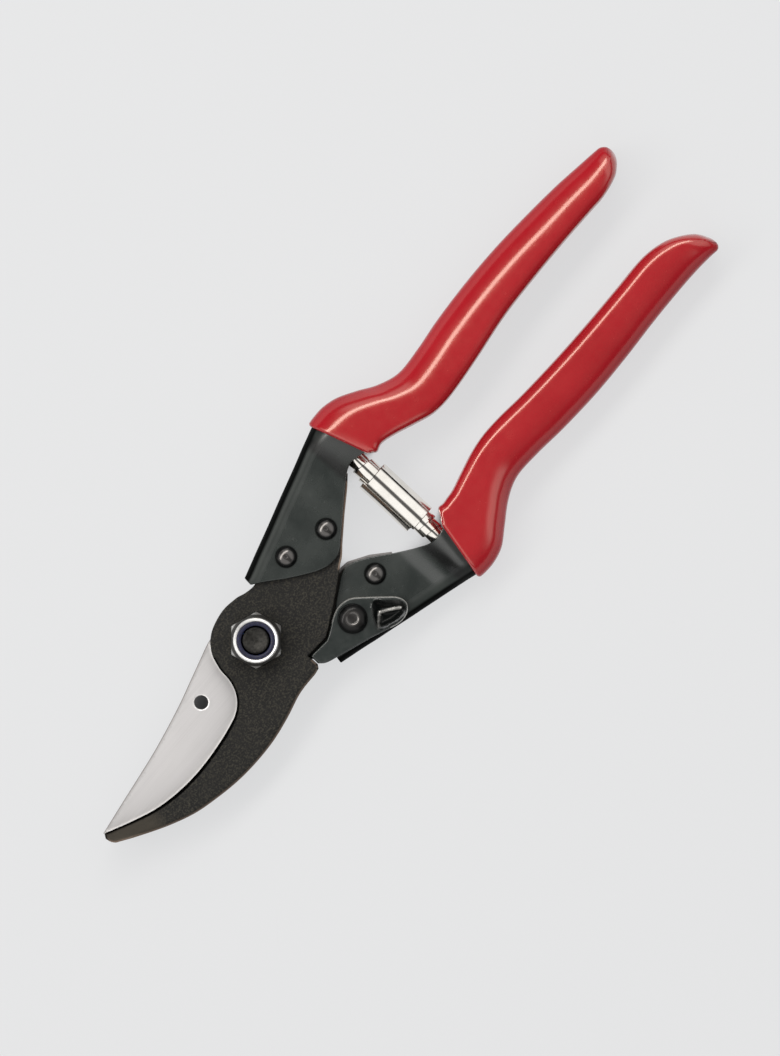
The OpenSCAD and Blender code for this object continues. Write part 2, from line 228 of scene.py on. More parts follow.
def nearest(points, loops):
    """Distance to the nearest loop, and that spot's index along all the loops' points."""
    a = np.concatenate(loops)
    b = np.concatenate([np.roll(loop, -1, axis=0) for loop in loops])
    along = b - a
    square = np.maximum((along**2).sum(1), 1e-12)
    far, where = np.empty(len(points)), np.empty(len(points), int)
    for first in range(0, len(points), 1500):
        p = points[first:first + 1500, None, :] - a[None]
        t = np.clip((p * along[None]).sum(2) / square[None], 0, 1)
        d = ((p - t[:, :, None] * along[None]) ** 2).sum(2)
        where[first:first + 1500] = d.argmin(1)
        far[first:first + 1500] = np.sqrt(d.min(1))
    return far, where


def inside(points, loops):
    """Whether each point is inside the outer loop and outside the holes."""
    found = np.zeros(len(points), bool)
    for loop in loops:
        ends = np.roll(loop, -1, axis=0)
        for (ax, ay), (bx, by) in zip(loop, ends):
            if ay != by:
                crosses = (ay > points[:, 1]) != (by > points[:, 1])
                at = ax + (points[:, 1] - ay) * (bx - ax) / (by - ay)
                found ^= crosses & (points[:, 0] < at)
    return found


def inward_of(loop):
    """Unit vectors, at the loop's points, to the side of the loop that holds material."""
    along = np.roll(loop, -1, axis=0) - np.roll(loop, 1, axis=0)
    return np.stack([-along[:, 1], along[:, 0]], 1) / np.linalg.norm(along, axis=1)[:, None]


def round_drop(far, width, depth):
    """How far a rounded edge of that width and depth lies below the face."""
    t = np.clip(1 - far / np.maximum(width, 1e-6), 0, 1)
    return depth * (1 - np.sqrt(np.maximum(1 - t * t, 0)))


def plate(name, loops, z, material, top, under, paint, width, spacing, extra, sharp=SHARP):
    """A plate between heights z. top and under give how far each face lies inside its height,
    and paint the marks, from the plan points, their distance to the edge and the edge point
    nearest to them. width is the widest rounded edge, at each edge point, and extra adds lines
    of points."""
    edge = np.concatenate(loops)
    inward = np.concatenate([inward_of(loop) for loop in loops])
    points = [edge]
    for t in (22.5, 45, 67.5, 90):
        reach = width * (1 - math.cos(math.radians(t)))
        ring = edge + inward * reach[:, None]
        far, _ = nearest(ring, loops)
        points.append(ring[(far > reach * 0.97 - 0.001) & (far > 0.02) & inside(ring, loops)])
    low, high = edge.min(0), edge.max(0)
    rows = np.arange(low[1], high[1], spacing * 0.87)
    grid = np.array([
        (x, y)
        for k, y in enumerate(rows)
        for x in np.arange(low[0] + (k % 2) * spacing / 2, high[0], spacing)
    ])
    far, where = nearest(grid, loops)
    points.append(grid[inside(grid, loops) & (far > width[where] + spacing * 0.45)])
    for more in extra:
        far, where = nearest(more, loops)
        points.append(more[inside(more, loops) & (far > 0.15)])
    points = np.concatenate(points)
    links, first = [], 0
    for loop in loops:
        links += [(first + i, first + (i + 1) % len(loop)) for i in range(len(loop))]
        first += len(loop)
    made = delaunay_2d_cdt([Vector(p) for p in points], links, [], 0, 1e-6)
    flat = np.array([tuple(v) for v in made[0]])
    place = {i: j for j, ids in enumerate(made[3]) for i in ids}
    middles = np.array([flat[list(f)].mean(0) for f in made[2]])
    faces = [tuple(f) for f, keep in zip(made[2], inside(middles, loops)) if keep]
    far, where = nearest(flat, loops)
    upper = np.column_stack([flat, z[1] - top(flat, far, where)])
    lower = np.column_stack([flat, z[0] + under(flat, far, where)])
    count = len(flat)
    walls = [(place[a], place[a] + count, place[b] + count, place[b]) for a, b in links]
    faces = faces + [tuple(i + count for i in reversed(f)) for f in faces] + walls
    marks = {mark: np.tile(values, 2) for mark, values in paint(flat, far, where).items()}
    return mesh_object(name, np.concatenate([upper, lower]), faces, material, sharp, marks)


def ripple(points, size, depth, seed):
    """Gentle hollows of a forged or hand-dressed face."""
    return np.array([
        depth * (0.5 + 0.5 * noise.fractal(Vector((p[0] / size, p[1] / size, seed)), 0.8, 2.1, 3))
        for p in points
    ])


# ---- Channel handles ----

SHEET_T = 1.6
DIP_T = 1.2
BEND_R = 3.0
GRIP_BEND_R = 6.8
GRIP_Z = heights("grip_hook_side")
GRIP_STEEL_Z = (GRIP_Z[0] + DIP_T, GRIP_Z[1] - DIP_T)
GRIP_ROW = 11
STEEL_ROWS = 25
TAIL_X = -152.5
TAIL_RUN = 6.6

# Handle edges, one row a station: outer corner x and y, then inner edge x and y
HOOK_SIDE_ROWS = np.array([
    (-10.25, -13, -10, -10.6), (-13, -13.85, -13, -8.4), (-17, -15.1, -17, -5),
    (-21, -16.3, -21, -2), (-25, -17.5, -24.7, 0.4), (-28.5, -18.6, -28.2, 1.6),
    (-32, -19.7, -31.5, 1.3), (-36, -20.9, -35.5, -1.4), (-41, -22.4, -41, -5.4),
    (-46, -24, -46, -9), (-49, -24.9, -51, -11.8), (-51.75, -25.7, -55.9, -10.9),
    (-54.5, -26, -58, -10.35), (-58, -25.9, -61, -10.2), (-62.2, -24.7, -65, -9),
    (-67, -22, -70, -7), (-72, -18.8, -75, -5.2), (-78, -16.7, -80, -4.7),
    (-86, -17.1, -86.5, -5.1), (-95, -18.2, -95, -6.1), (-107.5, -19, -107.5, -7.8),
    (-120, -19.1, -120, -8.5), (-132, -18.5, -132, -8.8), (-142, -17.7, -142, -8.8),
    (-149, -16.8, -148.5, -8.8), (-154.2, -16.1, -153.8, -9.9), (-156.7, -15.7, -156.7, -11.7),
    (-158.6, -15.1, -158.6, -13.5),
])
BLADE_SIDE_ROWS = np.array([
    (-10, 20.75, -10.3, 19.2), (-13, 21.6, -13.5, 16), (-17, 22.7, -17, 12.6),
    (-21, 23.9, -21, 9.5), (-25, 25, -25, 7.1), (-28.5, 26, -28.2, 5.4),
    (-32, 27, -31, 5.3), (-36, 28.1, -35.5, 7.9), (-41, 29.5, -41, 12.3),
    (-46, 30.9, -46.3, 16.1), (-48.5, 31.6, -50, 18), (-50.9, 32.3, -54.5, 17.7),
    (-53.5, 32.7, -57.3, 15.4), (-57, 32.6, -60, 14.6), (-61.2, 31.4, -63.5, 14.2),
    (-66, 28.3, -68.4, 12.9), (-72, 24.5, -74.5, 11.4), (-78, 22.4, -80, 10.75),
    (-86, 22.5, -86.5, 10.9), (-95, 23.3, -95, 11.6), (-107.5, 23.8, -107.5, 12.1),
    (-120, 23.5, -120, 12.2), (-132, 22.8, -132, 12), (-142, 22.5, -142, 11.8),
    (-149, 22.5, -148.4, 13), (-154, 22.8, -152.9, 15.2), (-156.8, 23.1, -156.4, 18.2),
    (-158.4, 23, -158.4, 21.6),
])
# Where each channel's change of height begins and ends, and how gently it begins
HOOK_SIDE_RISE = (-46, -58, 1)
BLADE_SIDE_RISE = (-40, -51.5, 1.5)


def spline_at(rows, u):
    """The row at u, counted in rows, on the Catmull-Rom curve through them."""
    last = len(rows) - 1
    i = min(int(u), last - 1)
    t = u - i
    a, b, c, d = rows[max(i - 1, 0)], rows[i], rows[i + 1], rows[min(i + 2, last)]
    return 0.5 * (2 * b + (c - a) * t + (2 * a - 5 * b + 4 * c - d) * t * t
                  + (3 * b - a - 3 * c + d) * t**3)


def ease(s):
    t = min(max(s, 0.0), 1.0)
    return t * t * (3 - 2 * t)


def mix(a, b, s):
    return a + (b - a) * s


def half_path(end, z, r, inset, steps=9, between=4):
    """From the upper lip along the top, round the back and along the under side, as (u, z)."""
    path = [(mix(end, inset + r, k / between), z[1] - inset) for k in range(between)]
    path += arc((inset + r, z[1] - inset - r), r, 90, 180, steps)
    path += [
        (inset, mix(z[1] - inset - r, z[0] + inset + r, k / between)) for k in range(1, between)
    ]
    path += arc((inset + r, z[0] + inset + r), r, 180, 270, steps)
    path += [(mix(inset + r, end, k / between), z[0] + inset) for k in range(1, between + 1)]
    return path


def channel_ring(rows, u, front_z, rise, out, inner, lip, corner, fill=0.0, squeeze=1.0):
    """The closed ring of a channel's section at station u, as (x, y, z, distance from its back).
    out and inner are the insets of its outer and inner faces from the steel's outer face, lip
    is how far it reaches past the inner edge, corner rounds the lip, and fill closes the
    groove."""
    row = spline_at(rows, u)
    o, i = row[:2], row[2:]
    w = float(np.linalg.norm(i - o))
    d = (i - o) / w
    x = (o[0] + i[0]) / 2
    s = ease(max((rise[0] - x) / (rise[0] - rise[1]), 0.0) ** rise[2])
    z = [mix(front_z[0], GRIP_STEEL_Z[0], s), mix(front_z[1], GRIP_STEEL_Z[1], s)]
    back = min(max((TAIL_X - x) / TAIL_RUN, 0.0), 1.0)
    half = (z[1] - z[0]) / 2 * math.sqrt(1 - 0.8 * back * back)
    z = [(z[0] + z[1]) / 2 - half, (z[0] + z[1]) / 2 + half]
    bend = mix(BEND_R, GRIP_BEND_R, s)
    limit = min(bend, 0.7 * w, half - 0.1)
    tight = min(corner, inner - out - corner - 0.05)
    end, groove_end = w + lip - corner, w + lip - tight
    outer = half_path(end, z, max(limit - out, 0.25), out)
    groove = half_path(groove_end, z, max(limit - inner, 0.25), inner)
    groove = [(mix(p[0], groove_end, fill), p[1]) for p in groove]
    lower = arc((end, z[0] + out + corner), corner, -90, 0, 5)
    lower += arc((groove_end, z[0] + inner - tight), tight, 0, 90, 4)
    upper = arc((groove_end, z[1] - inner + tight), tight, -90, 0, 4)
    upper += arc((end, z[1] - out - corner), corner, 0, 90, 8)
    ring = outer + lower[1:-1] + groove[::-1] + upper[1:-1]
    ring = np.array([(o[0] + d[0] * p[0], o[1] + d[1] * p[0], p[1], p[0] - out) for p in ring])
    centre = ring[:, :3].mean(0)
    ring[:, :3] = centre + (ring[:, :3] - centre) * squeeze
    return ring


def stations(first, last, per_row):
    return np.linspace(first, last, int(round((last - first) * per_row)) + 1)


def channel_tube(name, rings, material, sharp=SHARP):
    """A tube of channel rings, whose mark "reach" is the distance from the channel's back."""
    rings = np.array(rings)
    return tube(name, rings[:, :, :3], material, sharp, {"reach": rings[:, :, 3].ravel()})


def pressed_shell(node, rows, front_z, rise, material):
    """The steel channel, its sheared edges slightly rounded."""
    rings = []
    for u in [0.0, 0.03, 0.1, *stations(0.25, STEEL_ROWS, 6)]:
        thin = 0.22 * (1 - math.sqrt(1 - (1 - min(u / 0.1, 1.0)) ** 2))
        rings.append(channel_ring(rows, u, front_z, rise, thin, SHEET_T - thin, -thin, 0.3))
    stand_for(channel_tube(node + ".pressing", rings, material), node)


def dipped_grip(node, rows, front_z, rise, material, drip):
    """The PVC dip round the channel: a rounded front rim, a drip at the inner front corner,
    a groove that runs out before the tail, and a rounded tail."""
    rim = 0.34  # length of the rounded rim, in rows
    closing = 1.0  # length of the rounded tail, in rows
    gap = 0.03
    last = len(rows) - 1
    lining = [
        channel_ring(rows, u, front_z, rise, -gap, SHEET_T + gap, gap, 0.3)
        for u in stations(GRIP_ROW, STEEL_ROWS, 4)
    ]
    cover = []
    front = [GRIP_ROW + rim * s for s in (0.0, 0.08, 0.2, 0.4, 0.7)]
    end = [
        last - closing * (1 - math.sin(math.radians(a))) for a in (15, 30, 45, 57, 68, 78, 86, 90)
    ]
    for u in [*front, *stations(GRIP_ROW + rim, last - closing, 8), *end]:
        s = min((u - GRIP_ROW) / rim, 1.0)
        t = gap + (DIP_T - gap) * math.sqrt(1 - (1 - s) ** 2)
        drop = drip * math.exp(-((u - GRIP_ROW - 0.9) / 0.55) ** 2)
        fill = ease((u - STEEL_ROWS + 1.6) / 1.8)
        tail = max((u - last) / closing + 1, 0.0)
        squeeze = mix(1, math.sqrt(1 - tail * tail), 0.8)
        corner = mix(0.3, min(0.2 * (u - GRIP_ROW) + 2.0, 3.4), s)
        cover.append(channel_ring(
            rows, u, front_z, rise, -t, SHEET_T + t, t + drop, corner, fill, squeeze))
    stand_for(channel_tube(node + ".dip", lining[::-1] + cover, material, sharp=50), node)


# ---- Materials ----


class Nodes:
    """A node tree, with short calls for its nodes."""

    def __init__(self, tree):
        self.tree = tree

    def add(self, kind):
        return self.tree.nodes.new("ShaderNode" + kind)

    def join(self, source, socket):
        """Links the source if it is a socket, and else sets it as the socket's value."""
        if isinstance(source, bpy.types.NodeSocket):
            self.tree.links.new(source, socket)
        else:
            socket.default_value = source

    def split(self, vector, which):
        node = self.add("SeparateXYZ")
        self.join(vector, node.inputs[0])
        return node.outputs[which]

    def math(self, operation, a, b=0.0):
        node = self.add("Math")
        node.operation = operation
        for socket, value in zip(node.inputs, (a, b)):
            self.join(value, socket)
        return node.outputs[0]

    def plus(self, a, b):
        return self.math("ADD", a, b)

    def times(self, a, b):
        return self.math("MULTIPLY", a, b)

    def spread(self, value, low, high, new_low=0.0, new_high=1.0, smooth=False):
        """The value carried from low and high to new_low and new_high, and held there."""
        node = self.add("MapRange")
        node.interpolation_type = "SMOOTHSTEP" if smooth else "LINEAR"
        for socket, number in zip(
                ("Value", "From Min", "From Max", "To Min", "To Max"),
                (value, low, high, new_low, new_high)):
            self.join(number, node.inputs[socket])
        return node.outputs["Result"]


class Paint(Nodes):
    """A material under construction."""

    def __init__(self, name, **settings):
        self.material = bpy.data.materials.new(name)
        self.material.use_nodes = True
        super().__init__(self.material.node_tree)
        self.shader = self.tree.nodes["Principled BSDF"]
        for socket, value in settings.items():
            self.shader.inputs[socket.replace("_", " ")].default_value = value
        self.place = self.add("TexCoord").outputs["Object"]

    def pattern(self, kind, scale, stretch=(1, 1, 1), turn=0.0):
        mapping = self.add("Mapping")
        mapping.inputs["Scale"].default_value = stretch
        mapping.inputs["Rotation"].default_value = (0, 0, turn)
        self.join(self.place, mapping.inputs["Vector"])
        node = self.add(kind)
        node.inputs["Scale"].default_value = scale
        self.join(mapping.outputs["Vector"], node.inputs["Vector"])
        return node

    def noise(self, scale, detail=3.0, rough=0.55, stretch=(1, 1, 1), turn=0.0):
        node = self.pattern("TexNoise", scale, stretch, turn)
        node.inputs["Detail"].default_value = detail
        node.inputs["Roughness"].default_value = rough
        return node.outputs["Fac"]

    def soft(self, noise, low=0.0, high=1.0):
        """The usual span of a noise, carried to low and high."""
        return self.spread(noise, 0.3, 0.7, low, high)

    def mark(self, name):
        """The mark of that name that the mesh carries."""
        node = self.add("Attribute")
        node.attribute_name = name
        return node.outputs["Fac"]

    def axis(self, which):
        return self.split(self.place, which)

    def near(self, at):
        """Distance in plan from a place in millimetres, in millimetres."""
        squares = []
        for which, place in zip("XY", at):
            gap = self.math("SUBTRACT", self.math("DIVIDE", self.axis(which), MM), place)
            squares.append(self.times(gap, gap))
        return self.math("SQRT", self.plus(*squares))

    def mix(self, share, a, b):
        node = self.add("Mix")
        node.data_type = "RGBA"
        self.join(share, node.inputs["Factor"])
        for socket, color in (("A", a), ("B", b)):
            self.join((*color, 1) if isinstance(color, tuple) else color, node.inputs[socket])
        return node.outputs["Result"]

    def bump(self, height, distance, strength=1.0, under=None):
        node = self.add("Bump")
        node.inputs["Distance"].default_value = distance
        node.inputs["Strength"].default_value = strength
        self.join(height, node.inputs["Height"])
        if under is not None:
            self.join(under, node.inputs["Normal"])
        return node.outputs["Normal"]

    def finish(self, color=None, rough=None, normal=None, metal=None):
        sockets = {"Base Color": color, "Roughness": rough, "Normal": normal, "Metallic": metal}
        for socket, source in sockets.items():
            if source is not None:
                self.join(source, self.shader.inputs[socket])
        return self.material

    def gloss(self, level):
        self.join(level, self.shader.inputs["Specular IOR Level"])


SMALL_RIVETS = ("hook_rivet_front", "hook_rivet_rear", "blade_rivet")


def forged_steel():
    """Black forging skin, brownish and grainy, ground smooth and paler towards the tip, with a
    painted shade line along the edge that meets the blade, and rubbed brown round the outside and
    along the tang's edge, which is wear with a painted highlight."""
    p = Paint("forged_steel", Specular_IOR_Level=0.35)
    grain = p.noise(2100, 2, 0.6)
    coarse = p.noise(1100, 3, 0.7)
    both = p.plus(p.times(grain, 0.65), p.times(coarse, 0.35))
    broad = p.noise(160, 3, 0.5)
    edge_x = p.plus(p.axis("X"), p.soft(p.noise(120, 2), -0.002, 0.002))
    ground = p.spread(edge_x, 0.049, 0.056, smooth=True)
    skin_color = p.mix(p.spread(both, 0.47, 0.6), (0.0008, 0.0007, 0.0005), (0.03, 0.0275, 0.0205))
    skin_color = p.mix(p.spread(broad, 0.35, 0.7, 0.0, 0.35), skin_color, (0.007, 0.0065, 0.005))
    bare = p.mix(p.noise(900, 3, 0.6, (0.25, 1, 1)), (0.034, 0.029, 0.021), (0.058, 0.05, 0.039))
    color = p.mix(p.times(ground, 0.8), skin_color, bare)
    # Wear with a painted highlight: brown round the outside, brightest along the tang's edge.
    color = p.mix(p.times(p.mark("rubbed_and_highlight"), 0.75), color, (0.2, 0.145, 0.11))
    # Painted shade: a near-black line along the edge that meets the blade, with its gloss taken
    # away.
    color = p.mix(p.mark("painted_shade_line"), color, (0.0012, 0.0012, 0.0012))
    rough = p.spread(p.times(both, p.spread(ground, 0, 1, 1, 0.7)), 0.2, 0.7, 0.5, 0.75)
    height = p.times(both, p.spread(ground, 0, 1, 1, 0.2))
    p.gloss(p.spread(p.mark("painted_shade_line"), 0, 1, 0.3, 0.0))
    return p.finish(color, rough, p.bump(height, 0.00025, 1.0), p.spread(ground, 0, 1, 0.0, 0.3))


def ground_blade():
    """Satin steel, ground in fine lines along the blade, with a painted highlight along the hook
    and round the hole, and painted shade on its rounded edges.
    """
    p = Paint("blade_steel")
    lines = p.noise(60, 4, 0.7, (0.7, 60, 1), turn=-0.06)
    fine_lines = p.noise(150, 3, 0.7, (0.4, 60, 1), turn=-0.06)
    cloud = p.noise(45, 2)
    both = p.plus(p.times(lines, 0.5), p.times(fine_lines, 0.5))
    color = p.mix(p.spread(both, 0.35, 0.65), (0.53, 0.522, 0.527), (0.605, 0.597, 0.602))
    end_x = p.plus(p.axis("X"), p.soft(cloud, -0.001, 0.001))
    tang = p.spread(end_x, 0.007, 0.004)
    # The tang's edges are lighter: wear with a painted highlight.
    tang = p.times(tang, p.spread(p.mark("wear_and_highlight"), 0.0, 1.0, 1.0, 0.25))
    color = p.mix(tang, color, (0.03, 0.028, 0.026))
    # Painted highlight: a bright line beside the hook and a bright rim round the hole.
    color = p.mix(p.mark("painted_highlight"), color, (0.97, 0.96, 0.95))
    # Painted shade on the rounded edges, also made less metallic.
    painted_edge_shade = p.mark("painted_edge_shade")
    color = p.mix(painted_edge_shade, color, (0.13, 0.12, 0.115))
    rough = p.soft(both, 0.42, 0.54)
    rough = p.plus(rough, p.soft(cloud, -0.02, 0.03))
    return p.finish(color, rough, p.bump(both, 0.00002, 0.5), p.spread(painted_edge_shade, 0, 1, 0.88, 0.1))


def black_coat():
    """Satin black coat on pressed steel, faintly uneven, with painted shade along the channel's
    back, round the small rivets and in a band by the grips.
    """
    p = Paint("black_coat")
    cloud = p.noise(120, 3, 0.5)
    peel = p.noise(1500, 2, 0.5)
    dust = p.spread(p.noise(700, 4, 0.7), 0.62, 0.75)
    # Painted shade along the channel's rounded back.
    turned = p.spread(p.mark("reach"), 1.3, 1.9, 1.0, 0.0)
    for node in SMALL_RIVETS:
        # Painted shade in a ring round each small rivet.
        ring = p.spread(p.near(middle(node)), 2.75, 3.15, 1.0, 0.0)
        turned = p.math("MAXIMUM", turned, ring)
    color = p.mix(p.soft(cloud), (0.014, 0.0182, 0.0168), (0.0235, 0.0288, 0.0264))
    color = p.mix(p.times(dust, 0.12), color, (0.06, 0.064, 0.062))
    # Painted shade in a band where the channel rises towards the grip.
    shade_by_grip = p.spread(p.axis("X"), -0.0458, -0.0478, 0.0, 0.95, smooth=True)
    shade_by_grip = p.times(shade_by_grip, p.spread(p.axis("X"), -0.0492, -0.0508, 1.0, 0.5))
    color = p.mix(p.math("MAXIMUM", turned, shade_by_grip), color, (0.002, 0.0024, 0.0022))
    rough = p.plus(p.soft(cloud, 0.23, 0.3), p.times(dust, 0.08))
    rough = p.plus(rough, p.spread(p.mark("reach"), 3.0, 4.5, 0.25, 0.0))
    gloss = p.spread(p.mark("reach"), 3.0, 4.5, 0.3, 0.85)
    p.gloss(p.times(gloss, p.spread(turned, 0, 1, 1.0, 0.08)))
    return p.finish(color, rough, p.bump(peel, 0.00002, 0.35), 0.0)


def catch_coat():
    """The catch's black coat: painted shade on the thumb tab's slopes and round its rivet, and
    bright along its crests and lower-left rim, which is wear with a painted highlight.
    """
    p = Paint("catch_coat")
    cloud = p.noise(300, 3, 0.6)
    # Wear with a painted highlight along the tab's crest and the plate's lower-left rim.
    wear_and_highlight = p.times(p.mark("wear_and_highlight"), p.spread(p.noise(1400, 3, 0.6), 0.3, 0.6, 0.45, 1.0))
    color = p.mix(p.soft(cloud), (0.02, 0.0245, 0.0235), (0.029, 0.034, 0.0325))
    # Painted shade on the thumb tab's slopes.
    color = p.mix(p.mark("painted_tab_shade"), color, (0.002, 0.0025, 0.0025))
    around = p.near(middle("catch_rivet"))
    # Painted shade in a ring round the catch rivet.
    rivet_ring_shade = p.spread(around, 3.85, 4.15, 1.0, 0.0)
    color = p.mix(rivet_ring_shade, color, (0.002, 0.0025, 0.0025))
    color = p.mix(wear_and_highlight, color, (0.85, 0.84, 0.8))
    rough = p.plus(p.soft(cloud, 0.2, 0.28), p.times(wear_and_highlight, 0.15))
    p.gloss(p.spread(p.math("MAXIMUM", p.mark("painted_tab_shade"), rivet_ring_shade), 0, 1, 0.55, 0.12))
    return p.finish(color, rough, p.bump(cloud, 0.00002, 0.3), p.times(wear_and_highlight, 0.9))


def pvc_dip():
    """Soft red PVC with a low, rounded sheen."""
    p = Paint("pvc_dip", Coat_Roughness=0.16, Specular_Tint=(1, 0.72, 0.5, 1))
    cloud = p.noise(55, 3, 0.5)
    skin_noise = p.noise(700, 3, 0.5)
    color = p.mix(p.soft(cloud), (0.335, 0.0078, 0.0145), (0.375, 0.0115, 0.019))
    rough = p.soft(p.noise(300, 3, 0.6), 0.2, 0.28)
    wave = p.bump(cloud, 0.0001, 0.4)
    reach = p.mark("reach")
    shine = p.spread(reach, 1.0, 4.2, 0.08, 1.0)
    coat = p.plus(shine, p.spread(reach, 0.05, 0.4, 0.3, 0.0))
    p.join(coat, p.shader.inputs["Coat Weight"])
    p.gloss(p.times(shine, 0.8))
    return p.finish(color, rough, p.bump(skin_noise, 0.00003, 0.15, wave), 0.0)


def black_rivet():
    """Blackened rivet heads, rubbed shiny, their bright rings partly a painted highlight."""
    p = Paint("rivet_steel")
    wear = p.noise(900, 3, 0.6)
    rubbed_and_highlight = p.times(p.mark("rubbed_and_highlight"), p.spread(wear, 0.3, 0.65, 0.75, 1.0))
    color = p.mix(rubbed_and_highlight, (0.003, 0.0033, 0.0033), (0.125, 0.119, 0.115))
    rough = p.soft(wear, 0.15, 0.21)
    p.gloss(p.spread(rubbed_and_highlight, 0, 1, 0.1, 0.6))
    return p.finish(color, rough, p.bump(wear, 0.000008, 0.2), p.times(rubbed_and_highlight, 0.95))


def bolt_steel():
    """Blackened bolt, turned on its end."""
    p = Paint("bolt_steel")
    wear = p.noise(1200, 4, 0.7)
    color = p.mix(p.spread(wear, 0.35, 0.7), (0.014, 0.0135, 0.012), (0.05, 0.048, 0.043))
    # Painted shade: a dark ring round the rim of the end face.
    color = p.mix(p.spread(p.near((0, 0)), 3.05, 3.35), color, (0.003, 0.003, 0.003))
    rough = p.soft(wear, 0.3, 0.45)
    return p.finish(color, rough, p.bump(wear, 0.00006, 0.5), 0.7)


def zinc_plate():
    """Bright zinc with a fine crystalline cloud."""
    p = Paint("zinc_plate")
    cloud = p.pattern("TexVoronoi", 900).outputs["Distance"]
    scuff = p.noise(1500, 4, 0.7)
    color = p.mix(p.spread(cloud, 0.1, 0.7), (0.72, 0.71, 0.68), (0.84, 0.84, 0.83))
    rough = p.spread(scuff, 0.3, 0.75, 0.16, 0.32)
    return p.finish(color, rough, p.bump(scuff, 0.00002, 0.4), 1.0)


def nut_zinc():
    """The nut's zinc: a painted highlight on the rolled collar and the corner tips, painted shade
    on the duller hexagon between them.
    """
    p = Paint("nut_zinc")
    scuff = p.noise(1500, 4, 0.7)
    bright = p.mark("painted_highlight")
    color = p.mix(p.soft(scuff), (0.022, 0.021, 0.019), (0.05, 0.048, 0.044))
    color = p.mix(bright, color, (0.98, 0.975, 0.96))
    rough = p.spread(scuff, 0.3, 0.75, 0.36, 0.48)
    return p.finish(color, rough, p.bump(scuff, 0.00001, 0.3), p.spread(bright, 0, 1, 0.4, 1.0))


def blue_nylon():
    """The lock ring of blue nylon, dull and a little waxy."""
    p = Paint("nylon", Specular_IOR_Level=0.4, Subsurface_Weight=0.1)
    cloud = p.noise(1100, 4, 0.6)
    color = p.mix(p.soft(cloud), (0.0045, 0.005, 0.017), (0.0115, 0.0128, 0.045))
    return p.finish(color, p.soft(cloud, 0.38, 0.55), p.bump(cloud, 0.00004, 0.4), 0.0)


def nickel_plate():
    """Bright nickel on rolled strip, drawn faintly along the strip."""
    p = Paint("nickel_plate")
    lines = p.noise(160, 4, 0.7, (22, 1, 22))
    cloud = p.noise(300, 3, 0.6)
    color = p.mix(p.soft(cloud), (0.8, 0.775, 0.72), (0.92, 0.895, 0.845))
    rough = p.soft(lines, 0.07, 0.15)
    return p.finish(color, rough, p.bump(lines, 0.00001, 0.3), 1.0)


FORGED = forged_steel()
BLADE = ground_blade()
COAT = black_coat()
CATCH_COAT = catch_coat()
PVC = pvc_dip()
RIVET = black_rivet()
BOLT = bolt_steel()
ZINC = zinc_plate()
NUT = nut_zinc()
NYLON = blue_nylon()
NICKEL = nickel_plate()

# ---- Hook and blade ----

EDGE_STEP = 0.55  # spacing of the points along a blade's edge
CATCH_T = 2.0
SLOT_GAP = 0.3
HOLE_AT = np.array([22.05, -0.2])
BLADE_FROM = 13  # where the blade leaves the pivot's boss
BEVEL_W = 6.5
CUTTING_T = 0.35


def cut_away(piece, cutter):
    """Takes the cutter's solid out of the piece's mesh."""
    tool = piece.modifiers.new("cut", "BOOLEAN")
    tool.object = cutter
    tool.operation = "DIFFERENCE"
    tool.solver = "EXACT"
    graph = bpy.context.evaluated_depsgraph_get()
    mesh = bpy.data.meshes.new_from_object(piece.evaluated_get(graph))
    piece.modifiers.clear()
    piece.data = mesh
    bpy.data.objects.remove(cutter)
    mesh.shade_smooth()
    mesh.set_sharp_from_angle(angle=math.radians(SHARP))


def make_hook():
    """The forged counter hook: rounded outside, crisp where it meets the blade, with the slot
    for the catch's nose cut into its shoulder."""
    z = heights("hook_blade")
    loops = [fine_loop(loop, EDGE_STEP) for loop in flat_loops("hook_blade", z[1])]
    edge = np.concatenate(loops)
    outer = len(loops[0])
    x, y = edge[:, 0], edge[:, 1]
    on_rim = np.arange(len(edge)) < outer
    on_hook = on_rim & (x > -6)
    outside = on_hook & (y > 14.2 - 0.5 * np.maximum(x - 46, 0))
    facing = on_hook & ~outside & (x > 10.5)
    tang_side = on_rim & (x < -28) & (x > -47) & (y > -10.5)
    width = np.full(len(edge), 0.3)
    width[on_hook] = 0.42
    width[outside] = 1.15
    width[(x > 60) & on_hook] = 0.5
    for _ in range(12):
        width[:outer] = (np.roll(width[:outer], 1) + width[:outer] + np.roll(width[:outer], -1)) / 3

    def top(points, far, where):
        drop = round_drop(far, width[where], width[where] * 0.95)
        grinding = 0.55 * np.clip((points[:, 0] - 50) / 14, 0, 1) ** 1.5
        worked = np.minimum(grinding + ripple(points, 5.0, 0.1, 3.7), 0.7)
        return drop + worked * np.clip(far / 0.6, 0, 1)

    def under(points, far, where):
        return round_drop(far, 0.25, 0.2)

    def paint(points, far, where):
        # Painted shade line along the edge that faces the blade, widest mid-way along it.
        line = np.interp(points[:, 0], [12, 24, 45, 64], [0.5, 0.85, 0.85, 0.4])
        # Wear with a painted highlight along the tang's edge; brown wear round the outside.
        rubbed_and_highlight = np.where(tang_side[where], np.clip(2.6 - far / 0.2, 0, 1.6), 0)
        return {
            "painted_shade_line": np.where(facing[where], np.clip((line - far) / 0.2 + 0.5, 0, 1), 0),
            "rubbed_and_highlight": np.where(outside[where], np.clip(1.2 - far / 0.5, 0, 1), rubbed_and_highlight),
        }

    lines = [loops[0] + inward_of(loops[0]) * reach for reach in (0.55, 0.75, 0.95)]
    piece = plate("hook_blade.forging", loops, z, FORGED, top, under, paint, width, 0.75, lines)
    catch_z = heights("thumb_catch")[0]
    slot_z = (catch_z - SLOT_GAP, catch_z + CATCH_T + SLOT_GAP)
    ring = np.array(arc((0, 0), 14.4, 118, 82, 24) + arc((0, 0), 23.4, 82, 118, 8))
    rings = [np.column_stack([ring, np.full(len(ring), h)]) for h in slot_z]
    cut_away(piece, tube("slot", rings, FORGED))
    stand_for(piece, "hook_blade")


